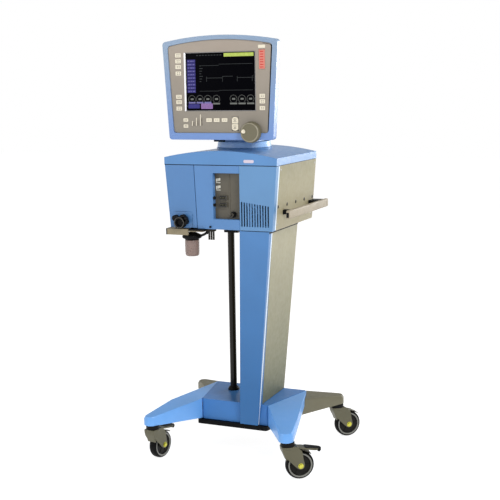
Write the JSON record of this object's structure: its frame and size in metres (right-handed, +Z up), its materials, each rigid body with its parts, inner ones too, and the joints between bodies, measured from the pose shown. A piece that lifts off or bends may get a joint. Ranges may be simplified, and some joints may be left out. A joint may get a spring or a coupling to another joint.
{
  "type": "mechanical ventilator",
  "caption": "Intensive care ventilator on a wheeled stand: tilting, swivelling touch monitor with dial and keys, hinged exhalation door, water trap, side handle and braked swivel casters.",
  "frame": {"origin": "on the floor, under the middle of the wheelbase", "axes": "+Z up, -Y is the front with the screen, +X is to the right of someone facing the screen"},
  "size_m": [0.6853, 0.5437, 1.424],
  "materials": {
    "case_blue": "satin",
    "panel_beige": "fine texture",
    "fascia_taupe": "matt",
    "black_plastic": "matt",
    "pole_enamel": "gloss",
    "steel": "brushed",
    "cast_alloy": "as cast",
    "caster_metal": "satin",
    "tyre_rubber": "matt",
    "screen_glass": "gloss",
    "alarm_red": "translucent",
    "key_cream": "matt",
    "clear_vial": "clear",
    "board_green": "solder mask",
    "pack_grey": "matt"
  },
  "bodies": {
    "root": {"base_underframe": "black_plastic", "base_cover": "case_blue", "front_leg_left": "case_blue", "front_leg_right": "case_blue", "rear_leg_left": "panel_beige", "rear_leg_right": "panel_beige", "column_frame": "steel", "column_front_cover": "case_blue", "column_rear_shell": "panel_beige", "support_pole": "pole_enamel", "pole_collar": "black_plastic", "pole_bracket": "black_plastic", "bottom_pan": "steel", "front_fascia": "case_blue", "spine_cover": "case_blue", "side_panel_left": "panel_beige", "side_panel_right": "panel_beige", "rear_panel": "panel_beige", "top_cover": "case_blue", "connection_panel": "fascia_taupe", "handle_right": "panel_beige", "gas_manifold": "cast_alloy", "power_supply": "cast_alloy", "battery_pack": "pack_grey", "main_board": "board_green", "fan_housing": "black_plastic", "power_inlet": "black_plastic", "exhalation_valve": "case_blue", "trap_bracket": "panel_beige", "trap_cap": "black_plastic", "circuit_ports": "pole_enamel", "caster_stem_front_left": "black_plastic", "caster_stem_front_right": "black_plastic", "caster_stem_rear_right": "black_plastic", "caster_stem_rear_left": "black_plastic"},
    "monitor_turntable": {"swivel_collar": "case_blue", "tilt_yoke": "black_plastic"},
    "monitor": {"monitor_rear_housing": "case_blue", "monitor_bezel": "case_blue", "monitor_fascia": "fascia_taupe", "display_panel": "screen_glass", "alarm_light": "alarm_red"},
    "dial": {"data_dial": "fascia_taupe"},
    "accept": {"accept_key": "key_cream"},
    "cancel": {"cancel_key": "key_cream"},
    "door": {"exhalation_door": "case_blue"},
    "latch": {"filter_latch": "black_plastic"},
    "vial": {"water_trap_vial": "clear_vial"},
    "fan": {"fan_rotor": "black_plastic"},
    "fork_front_left": {"caster_fork_front_left": "caster_metal"},
    "wheel_front_left": {"caster_wheel_front_left": "tyre_rubber"},
    "pedal_front_left": {"brake_pedal_front_left": "caster_metal"},
    "fork_front_right": {"caster_fork_front_right": "caster_metal"},
    "wheel_front_right": {"caster_wheel_front_right": "tyre_rubber"},
    "pedal_front_right": {"brake_pedal_front_right": "caster_metal"},
    "fork_rear_right": {"caster_fork_rear_right": "caster_metal"},
    "wheel_rear_right": {"caster_wheel_rear_right": "tyre_rubber"},
    "fork_rear_left": {"caster_fork_rear_left": "caster_metal"},
    "wheel_rear_left": {"caster_wheel_rear_left": "tyre_rubber"}
  },
  "joints": [
    {"name": "monitor_swivel", "type": "hinge", "parent": "root", "child": "monitor_turntable", "pos_m": [0, 0.007, 1.064], "axis": [0, 0, 1], "range_deg": [-75, 75]},
    {"name": "monitor_tilt", "type": "hinge", "parent": "monitor_turntable", "child": "monitor", "pos_m": [0, -0.048, 1.194], "axis": [-1, 0, 0], "range_deg": [-8, 25]},
    {"name": "dial_turn", "type": "hinge", "parent": "monitor", "child": "dial", "pos_m": [0.11, -0.19, 1.116], "axis": [0, 1, 0], "continuous": true},
    {"name": "accept_press", "type": "slide", "parent": "monitor", "child": "accept", "axis": [0, 1, 0], "range_m": [0, 0.0015], "stiffness_N_per_m": 500},
    {"name": "cancel_press", "type": "slide", "parent": "monitor", "child": "cancel", "axis": [0, 1, 0], "range_m": [0, 0.0015], "stiffness_N_per_m": 500},
    {"name": "door_hinge", "type": "hinge", "parent": "root", "child": "door", "pos_m": [-0.182, -0.2, 0.8], "axis": [0.0807, 0, -0.9967], "range_deg": [0, 100]},
    {"name": "latch_turn", "type": "hinge", "parent": "root", "child": "latch", "pos_m": [-0.141, -0.21, 0.82], "axis": [0, 1, 0], "range_deg": [0, 40]},
    {"name": "vial_pull", "type": "slide", "parent": "root", "child": "vial", "axis": [0, 0, -1], "range_m": [0, 0.011]},
    {"name": "fan_spin", "type": "hinge", "parent": "root", "child": "fan", "pos_m": [-0.12, 0.15, 0.919], "axis": [0, 1, 0], "continuous": true},
    {"name": "swivel_front_left", "type": "hinge", "parent": "root", "child": "fork_front_left", "pos_m": [-0.246, -0.25, 0.104], "axis": [0, 0, 1], "continuous": true},
    {"name": "roll_front_left", "type": "hinge", "parent": "fork_front_left", "child": "wheel_front_left", "pos_m": [-0.23923, -0.21159, 0.047], "axis": [-0.9848, 0.1736, 0], "continuous": true},
    {"name": "brake_front_left", "type": "hinge", "parent": "fork_front_left", "child": "pedal_front_left", "pos_m": [-0.24105, -0.22193, 0.107], "axis": [-0.9848, 0.1736, 0], "range_deg": [0, 8]},
    {"name": "swivel_front_right", "type": "hinge", "parent": "root", "child": "fork_front_right", "pos_m": [0.246, -0.25, 0.104], "axis": [0, 0, 1], "continuous": true},
    {"name": "roll_front_right", "type": "hinge", "parent": "fork_front_right", "child": "wheel_front_right", "pos_m": [0.27795, -0.22763, 0.047], "axis": [-0.5736, 0.8192, 0], "continuous": true},
    {"name": "brake_front_right", "type": "hinge", "parent": "fork_front_right", "child": "pedal_front_right", "pos_m": [0.26935, -0.23365, 0.107], "axis": [-0.5736, 0.8192, 0], "range_deg": [0, 8]},
    {"name": "swivel_rear_right", "type": "hinge", "parent": "root", "child": "fork_rear_right", "pos_m": [0.265, 0.201, 0.104], "axis": [0, 0, 1], "continuous": true},
    {"name": "roll_rear_right", "type": "hinge", "parent": "fork_rear_right", "child": "wheel_rear_right", "pos_m": [0.29398, 0.2271, 0.047], "axis": [-0.6691, 0.7431, 0], "continuous": true},
    {"name": "swivel_rear_left", "type": "hinge", "parent": "root", "child": "fork_rear_left", "pos_m": [-0.265, 0.201, 0.104], "axis": [0, 0, 1], "continuous": true},
    {"name": "roll_rear_left", "type": "hinge", "parent": "fork_rear_left", "child": "wheel_rear_left", "pos_m": [-0.29843, 0.22109, 0.047], "axis": [-0.515, -0.8572, 0], "continuous": true}
  ]
}
